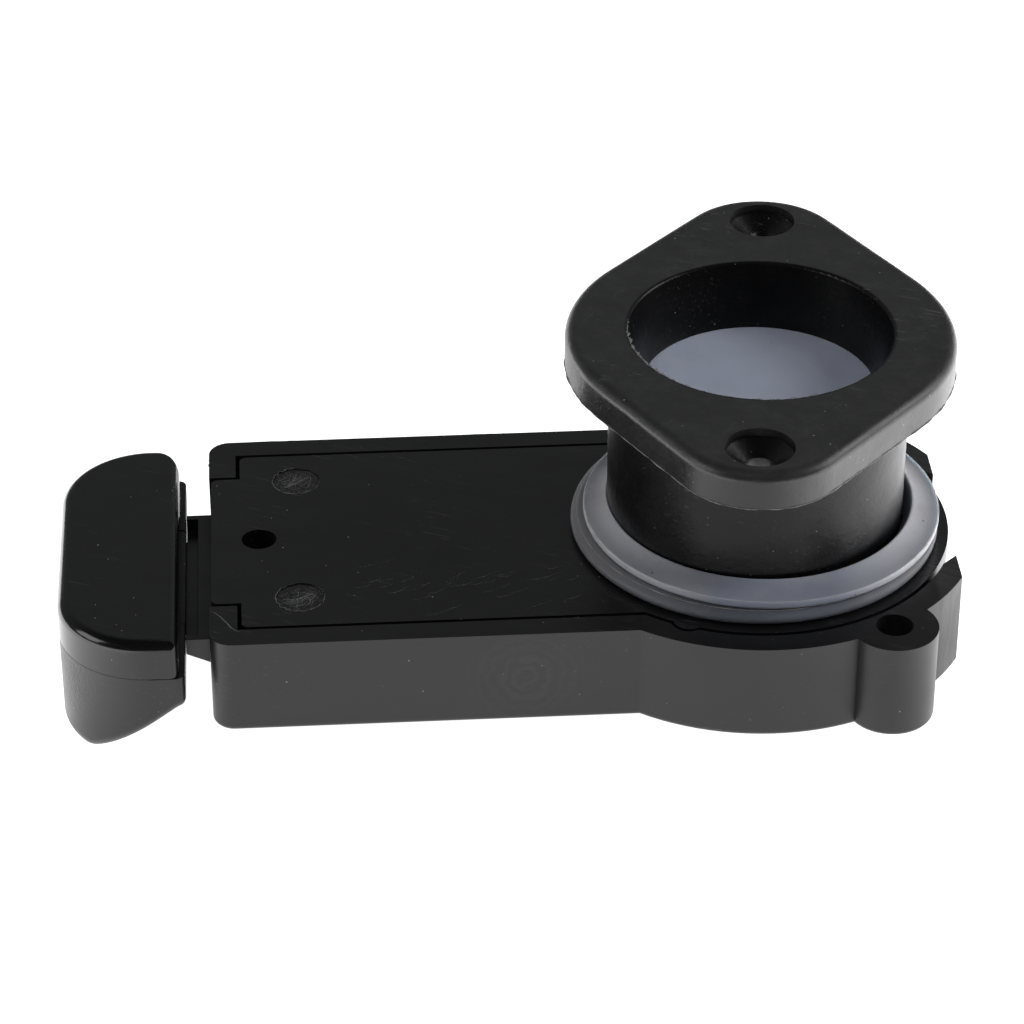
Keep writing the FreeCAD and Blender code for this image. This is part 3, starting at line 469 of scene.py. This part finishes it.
def stainless_steel(name):
    """Finely brushed steel for the screws, pin, spring and clip."""
    make = Shader(name, Metallic=1.0)
    brushed = make.noise(900.0, 3.0, make.mapped((1.0, 1.0, 12.0)))
    colour = make.blend(make.ramp(brushed, 0.3, 0.7), (0.50, 0.49, 0.48), (0.66, 0.65, 0.64))
    normal = make.bump(brushed, 0.004 * MM)
    make.drive(Base_Color=colour, Roughness=make.ramp(brushed, 0.3, 0.7, 0.22, 0.38), Normal=normal)
    return make.material


# ---------------------------------------------------------------- meshes
def finish_edges(thing, edge):
    """Close the CAD mesh, merge its flat faces, round its sharp edges a little and smooth the rest."""
    weld = thing.modifiers.new("weld", "WELD")
    weld.merge_threshold = 0.001 * MM
    flat = thing.modifiers.new("flat_faces", "DECIMATE")
    flat.decimate_type = "DISSOLVE"
    flat.angle_limit = math.radians(FLAT_ANGLE)
    bevel = thing.modifiers.new("soft_edges", "BEVEL")
    bevel.width = edge * MM
    bevel.segments = 2
    bevel.limit_method = "ANGLE"
    bevel.angle_limit = math.radians(SHARP_ANGLE)
    bevel.miter_outer = "MITER_ARC"
    even = thing.modifiers.new("even_shading", "WEIGHTED_NORMAL")
    even.keep_sharp = True
    even.weight = 60


def rounded(corners, radius, steps=5):
    """The same closed outline with each corner turned into an arc-like curve of about that radius."""
    points = []
    count = len(corners)
    for index, corner in enumerate(corners):
        here = Vector(corner)
        before, after = Vector(corners[index - 1]), Vector(corners[(index + 1) % count])
        start = here + (before - here).normalized() * min(radius, (before - here).length * 0.45)
        end = here + (after - here).normalized() * min(radius, (after - here).length * 0.45)
        for step in range(steps + 1):
            share = step / steps
            points.append(start * (1 - share) ** 2 + here * 2 * share * (1 - share) + end * share ** 2)
    return points


def lathe(name, section, centre_x, waviness, seed, segments=240):
    """Turn a closed section, in millimetres, about an upright axis, with a slight hand-pressed unevenness.

    A point of the section is (radius, height), or (radius, height, x of its own axis).
    """
    vertices, faces = [], []
    count = len(section)
    for turn in range(segments):
        angle = 2 * math.pi * turn / segments
        out = Vector((math.cos(angle), math.sin(angle), 0))
        wave = noise.noise(out * 1.6 + Vector((0, 0, seed))) * waviness
        lift = noise.noise(out * 2.3 + Vector((5, 0, seed))) * waviness
        for radius, height, *own_centre in section:
            middle = own_centre[0] if own_centre else centre_x
            spot = out * (radius + wave) + Vector((middle, 0, height + lift * 0.5))
            vertices.append(spot * MM)
    for turn in range(segments):
        here, after = turn * count, (turn + 1) % segments * count
        for step in range(count):
            following = (step + 1) % count
            faces.append((here + step, here + following, after + following, after + step))
    mesh = bpy.data.meshes.new(name)
    mesh.from_pydata(vertices, [], faces)
    return add_piece(name, mesh)


def add_piece(name, mesh):
    mesh.update()
    mesh.shade_smooth()
    piece = bpy.data.objects.new(name, mesh)
    scene.collection.objects.link(piece)
    return piece


def install(piece, body, slot, material, *nodes):
    """Give a piece its body and material, and let it replace the given CAD nodes. The slot is not used."""
    piece.data.materials.append(material)
    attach(piece, body)
    if nodes:
        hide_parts(*nodes)


def plan_box(node):
    """A CAD node's middle in X, radius along X, lowest and highest height, in millimetres."""
    low, high = (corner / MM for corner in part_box(node))
    return (high.x + low.x) / 2, (high.x - low.x) / 2, low.z, high.z


def make_upper_ring():
    """The ring under the flange: a sloped upper face, set a little towards +X, over a rounded outer rim."""
    middle, outer, foot, crown = plan_box("deck_gasket")
    inner, rim = outer - UPPER_RING_WIDTH, foot + UPPER_RIM_RISE
    edge = [(outer - 0.35, foot), (outer, foot + 0.45), (outer, rim), (outer - 0.25, rim + 0.16)]
    section = [(spot.x, spot.y) for spot in rounded(edge, 0.22)]
    section += [(inner + 0.2, crown - 0.1, 0.75), (inner, crown, 0.7), (inner - 0.15, crown - 0.12, 0.65),
                (inner - 0.25, crown - 0.6, 0.6)]
    section += [(NECK_RADIUS + 0.08, foot + 0.7, 0.0), (NECK_RADIUS + 0.08, foot, 0.0)]
    ring = lathe("deck_gasket_ring", section, middle, 0.10, 1.0)
    install(ring, "valve_body", "silicone_upper", FINISH["silicone_upper"], "deck_gasket")


def make_lower_ring():
    """The ring on the housing, with a rounded step all round."""
    _, outer, foot, crown = plan_box("body_gasket")
    inner = outer - LOWER_RING_WIDTH
    edge = [(inner, foot), (outer - 0.5, foot), (outer, foot + 0.6), (outer - 0.1, foot + 1.35),
            (outer - LOWER_STEP, crown - 0.25), (outer - 1.3, crown), (inner, crown)]
    ring = lathe("body_gasket_ring", rounded(edge, 0.45), 0.0, 0.06, 3.0)
    install(ring, "valve_body", "silicone_lower", FINISH["silicone_lower"], "body_gasket")


def make_painted_edge_highlights():
    """A thin pale thread round each ring's rim, a painted highlight along the rim's edge."""
    middle, upper_radius, upper_foot, _ = plan_box("deck_gasket")
    _, lower_radius, _, lower_crown = plan_box("body_gasket")
    for slot, centre_x, radius, height in (
            ("silicone_upper", middle, upper_radius, upper_foot + UPPER_RIM_RISE),
            ("silicone_lower", 0.0, lower_radius - LOWER_STEP, lower_crown - 0.1)):
        edge = arc((centre_x, 0), radius - 0.1, height + 0.05, 0, 360, 300, 0.0, 1.0)
        install(ridge(slot + "_edge", edge, 0.06, 6.0, closed=True), "valve_body", slot, PAINTED_EDGE_HIGHLIGHT)


def make_disc():
    """The check disc, very slightly dished, with a rounded rim."""
    _, radius, foot, face = plan_box("check_disc")
    shares = (0.002, 0.004, 0.1, 0.3, 0.5, 0.7, 0.85, 0.95)
    top = [(radius * share, face - DISC_DISH * (1 - share ** 2)) for share in shares]
    rim = [(radius - 0.12, face - 0.05), (radius, face - 0.4), (radius, foot + 0.4), (radius - 0.3, foot)]
    disc = lathe("check_disc_face", top + rim + [(0.07, foot), (0.035, foot)], 0.0, 0.0, 5.0, 160)
    install(disc, "disc", "disc_silicone", FINISH["disc_silicone"], "check_disc")


def ridge(name, path, width, seed, closed=False):
    """A thin uneven thread of plastic along a path of points in metres, kept inside the CAD model's box."""
    vertices, faces = [], []
    sides = 5
    count = len(path)
    for index, spot in enumerate(path):
        before = path[index - 1] if closed or index else spot
        after = path[(index + 1) % count] if closed or index + 1 < count else spot
        across = (after - before).normalized().cross(Vector((0, 0, 1))).normalized()
        swell = noise.noise(Vector((index * 0.21, seed, 0)))
        swell += 0.5 * noise.noise(Vector((index * 0.9, seed, 4)))
        fade = 1.0 if closed else min(1.0, 0.15 + 4.0 * min(index, count - 1 - index) / count)
        size = width * MM * fade * max(0.2, 0.7 + 1.3 * swell)
        for side in range(sides):
            angle = 2 * math.pi * side / sides
            corner = spot + across * math.cos(angle) * size + Vector((0, 0, math.sin(angle) * size * 0.6))
            vertices.append([min(max(value, low), high) for value, low, high in zip(corner, *cad_box)])
    for index in range(count if closed else count - 1):
        here, after = index * sides, (index + 1) % count * sides
        for side in range(sides):
            following = (side + 1) % sides
            faces.append((here + side, here + following, after + following, after + side))
    if not closed:
        faces.append(tuple(reversed(range(sides))))
        faces.append(tuple(range((count - 1) * sides, count * sides)))
    mesh = bpy.data.meshes.new(name)
    mesh.from_pydata(vertices, [], faces)
    return add_piece(name, mesh)


def outline_at(node, height):
    """A convex part's outline in plan at one height in millimetres, as points in metres in order round it."""
    spots = {}
    for vertex in frame["nodes"][node].data.vertices:
        if abs(vertex.co.z - height * MM) < 0.01 * MM:
            spots[(round(vertex.co.x, 5), round(vertex.co.y, 5))] = vertex.co.copy()
    ordered = sorted(spots.values(), key=lambda spot: (spot.x, spot.y))

    def half(points):
        chain = []
        for spot in points:
            while len(chain) > 1 and (chain[-1] - chain[-2]).cross(spot - chain[-2]).z <= 0:
                chain.pop()
            chain.append(spot)
        return chain[:-1]

    return half(ordered) + half(ordered[::-1])


def resampled(points, spacing):
    """Evenly spaced points along a closed outline, all in metres."""
    result = []
    for index, start in enumerate(points):
        end = points[(index + 1) % len(points)]
        steps = max(1, round((end - start).length / spacing))
        result += [start.lerp(end, step / steps) for step in range(steps)]
    return result


def wavy(start, end, steps, bend, seed):
    """Points from one place to another, in millimetres, bowed sideways and a little shaky."""
    first, last = Vector(start), Vector(end)
    side = (last - first).cross(Vector((0, 0, 1))).normalized()
    path = []
    for step in range(steps + 1):
        share = step / steps
        shake = noise.noise(Vector((share * 5, seed, 1))) * 0.25 + bend * 4 * share * (1 - share)
        path.append((first.lerp(last, share) + side * shake) * MM)
    return path


def arc(centre, radius, height, start, end, steps, shake, seed):
    """Points round a circle between two angles, in millimetres and degrees, wandering in and out a little."""
    path = []
    for step in range(steps):
        angle = math.radians(start + (end - start) * step / steps)
        reach = radius + noise.noise(Vector((step * 0.35, seed, 2))) * shake
        x, y = centre[0] + math.cos(angle) * reach, centre[1] + math.sin(angle) * reach
        path.append(Vector((x, y, height)) * MM)
    return path


def make_flash():
    """Flash left by the mould: round the flange's lower edge, and torn at the left of the bore's rim."""
    edge = resampled(outline_at("deck_flange", FLANGE_FOOT), 0.5 * MM)
    threads = [ridge("flange_edge_flash", edge, 0.15, 2.0, closed=True)]
    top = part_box("deck_flange")[1].z / MM
    for name, start, end, depth, width, seed in BORE_THREADS:
        path = arc((0, 0), BORE_RADIUS + 0.12, top - depth, start, end, 110, 0.5, seed)
        threads.append(ridge(name, path, width, seed))
    for thread in threads:
        install(thread, "valve_body", "flange_black", FLASH_AND_PAINTED_HIGHLIGHT)


def ejector_mark_paths(top):
    """The burr round each ejector mark and the scribbles in it, each with its width."""
    for number, y in enumerate((MARK_Y, -MARK_Y)):
        start = 60 + 35 * number
        yield arc((MARK_X, y), MARK_RADIUS, top, start, start + 310, 90, 0.3, 3.0 + number), 0.085
        for stroke in range(SCRIBBLES):
            turn = noise.noise(Vector((stroke * 3.7, number, 9))) * 2.0
            spread = noise.noise(Vector((stroke * 5.3, number, 4))) * 4.2
            angle = math.radians(35 + 55 * turn)
            along = Vector((math.cos(angle), math.sin(angle), 0))
            middle = Vector((MARK_X, y, top - 0.13)) + along.cross(Vector((0, 0, 1))) * spread
            half = math.sqrt(max(0.2, (MARK_RADIUS - 0.3) ** 2 - spread ** 2)) * 0.8
            yield wavy(middle - along * half, middle + along * half, 12, 0.2, stroke), 0.045


def cover_scratch_paths(top):
    """The slanting scratches on the front half of the cover, each with its width."""
    for stroke in range(SCRATCHES):
        x = -58 + 30 * (stroke / (SCRATCHES - 1)) + 3 * noise.noise(Vector((stroke * 2.1, 0, 7)))
        y = -13.0 + 11 * noise.noise(Vector((stroke * 3.3, 5, 7)))
        length = 2.5 + 6 * abs(noise.noise(Vector((stroke * 1.7, 3, 1))))
        angle = math.radians(24 + 30 * noise.noise(Vector((stroke * 4.9, 8, 2))))
        along = Vector((math.cos(angle), math.sin(angle), 0)) * length / 2
        middle = Vector((x, y, top))
        yield wavy(middle - along, middle + along, 16, 0.3, stroke), 0.034


def make_scars_and_edge_highlights():
    """The raised marks on the cover, and on the housing's rim the step, a burr and a back-rim thread, whose
    light grey paints highlights on the step's and back rim's edges.
    """
    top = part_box("cover_plate")[1].z / MM
    for number, (path, width) in enumerate([*ejector_mark_paths(top), *cover_scratch_paths(top)]):
        scar = ridge(f"cover_scar_{number}", path, width, 0.7 * number)
        install(scar, "valve_body", "moulded_black", SCAR)
    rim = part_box("housing")[1].z / MM
    step = [Vector(spot) * MM for spot in STEP_LINE]
    end_wall = wavy((-79.9, 17.5, rim - 0.1), (-79.9, 24.0, rim - 0.1), 26, 0.0, 5.0)
    rear_rim = wavy((-77.0, 26.6, rim - 0.05), (-22.0, 26.6, rim - 0.05), 150, 0.0, 6.0)
    # the step's and the back rim's light grey threads are painted highlights of those edges
    for name, path, width in (("end_wall_step_painted_highlight", step, 0.09), ("end_wall_burr", end_wall, 0.13),
                              ("rear_rim_painted_highlight", rear_rim, 0.08)):
        install(ridge(name, path, width, 4.0), "valve_body", "moulded_black", FLASH_AND_PAINTED_HIGHLIGHT)


# ---------------------------------------------------------------- build
make_camera()
make_room()
for softbox in SOFTBOXES:
    make_softbox(*softbox)
make_table()

BLACK = (0.0040, 0.0040, 0.0043)
HOUSING_BLACK = tuple(1.3 * part for part in BLACK)
FLANGE_BLACK, DULL_BLACK = (0.011, 0.011, 0.0118), (0.0033, 0.0033, 0.0036)
GLOSS_BLACK = (0.0035, 0.0035, 0.0037)
# the third tone of each ring is its painted glow, for light coming through its left and right
MILKY, MILKY_STAIN, MILKY_PAINTED_GLOW = (0.165, 0.18, 0.225), (0.27, 0.25, 0.24), (0.46, 0.46, 0.49)
SMOKY, SMOKY_STAIN, SMOKY_PAINTED_GLOW = (0.068, 0.074, 0.09), (0.12, 0.115, 0.11), (0.12, 0.12, 0.13)
DISC_BLUE, DISC_STAIN = (0.225, 0.245, 0.305), (0.25, 0.26, 0.30)
# tones of the painted highlight along the rings' rim edges
EDGE_HIGHLIGHT_TONE, EDGE_HIGHLIGHT_STAIN = (0.30, 0.28, 0.26), (0.36, 0.32, 0.28)
FINISH = {                            # by material slot
    "moulded_black": moulded_plastic("moulded_black", BLACK, 0.30),
    "flange_black": moulded_plastic("flange_black", FLANGE_BLACK, 0.40, scuffs=1.2, grain=1.8, dents=1.8),
    "handle_gloss": moulded_plastic("handle_gloss", GLOSS_BLACK, 0.17, scuffs=0.35, grain=0.6, dents=0.4),
    "silicone_upper": silicone("silicone_upper", MILKY, MILKY_STAIN, 0.40, 0.35, 0.004, MILKY_PAINTED_GLOW),
    "silicone_lower": silicone("silicone_lower", SMOKY, SMOKY_STAIN, 0.40, 0.3, 0.003, SMOKY_PAINTED_GLOW),
    "disc_silicone": silicone("disc_silicone", DISC_BLUE, DISC_STAIN, 0.26, 0.3, 0.003),
    "seal_rubber": black_rubber("seal_rubber"),
    "blade_white": natural_acetal("blade_white"),
    "steel": stainless_steel("steel"),
}
OWN_FINISH = {                        # by CAD node, where a part has marks of its own
    "housing": moulded_plastic("housing_black", HOUSING_BLACK, 0.36, marks=housing_marks),
    "cover_plate": moulded_plastic("cover_black", BLACK, 0.28, scuffs=0.8, marks=cover_marks),
    "handle_shell": moulded_plastic("shell_black", BLACK, 0.33, scuffs=0.5, grain=2.0, marks=shell_marks),
    "deck_flange": moulded_plastic("flange_dull", DULL_BLACK, 0.32, scuffs=1.2, grain=1.8, dents=4.0,
                                   marks=flange_marks),
}
# light grey for mould flash and burrs, and as painted highlight on the step's and back rim's edges
FLASH_AND_PAINTED_HIGHLIGHT = moulded_plastic("flash_and_painted_highlight", (0.12, 0.12, 0.122), 0.36, scuffs=1.0, grain=2.0)
SCAR = moulded_plastic("scar_black", (0.11, 0.11, 0.115), 0.42, scuffs=1.0, grain=2.0)
PAINTED_EDGE_HIGHLIGHT = silicone("painted_edge_highlight", EDGE_HIGHLIGHT_TONE, EDGE_HIGHLIGHT_STAIN, 0.45, 0.2, 0.001)
for label, thing in frame["nodes"].items():
    thing.data.materials.clear()
    thing.data.materials.append(OWN_FINISH.get(label) or FINISH[slots[label]])
    finish_edges(thing, SMALL_EDGE if label == "disc_spring" else SOFT_EDGE)
make_upper_ring()
make_lower_ring()
make_painted_edge_highlights()
make_disc()
make_flash()
make_scars_and_edge_highlights()
